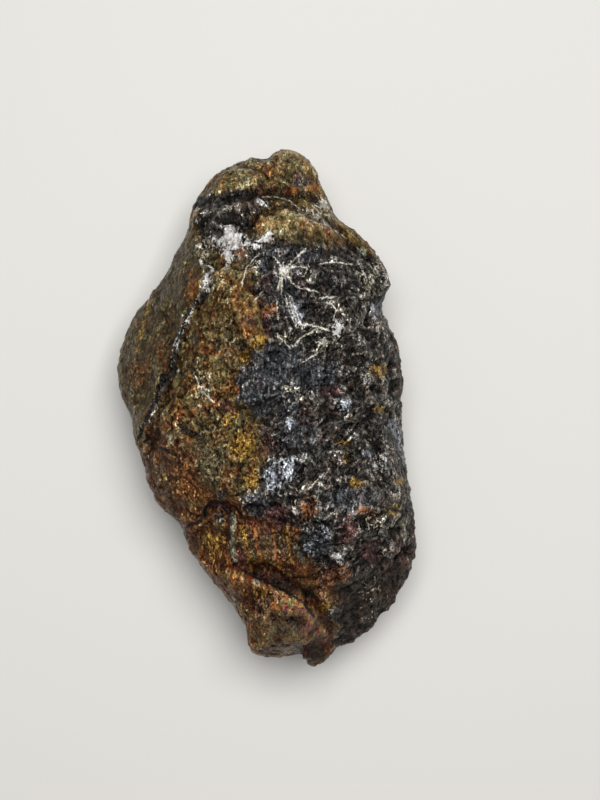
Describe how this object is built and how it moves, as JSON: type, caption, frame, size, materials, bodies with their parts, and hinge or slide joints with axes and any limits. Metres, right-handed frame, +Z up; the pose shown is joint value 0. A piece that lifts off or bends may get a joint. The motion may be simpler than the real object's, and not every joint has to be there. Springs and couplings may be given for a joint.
{
  "type": "peacock ore",
  "caption": "Rough hand-size lump of tarnished copper ore with a capped narrow end, a seamed flank and a lobed lower end, lying on a flat on its underside.",
  "frame": {"origin": "middle of the lump's box at the floor, inside the flat that it rests on", "axes": "+Y along the lump towards its narrow capped end, +Z up through the face that the picture shows, +X to the right of that face"},
  "size_m": [0.082, 0.142, 0.06],
  "materials": {
    "tarnished_ore": "rough broken sulphide ore: golden brown and near black with metallic glints, white calcite specks and some peacock tarnish"
  },
  "bodies": {
    "root": {"ore_lump": "tarnished_ore"}
  },
  "joints": []
}
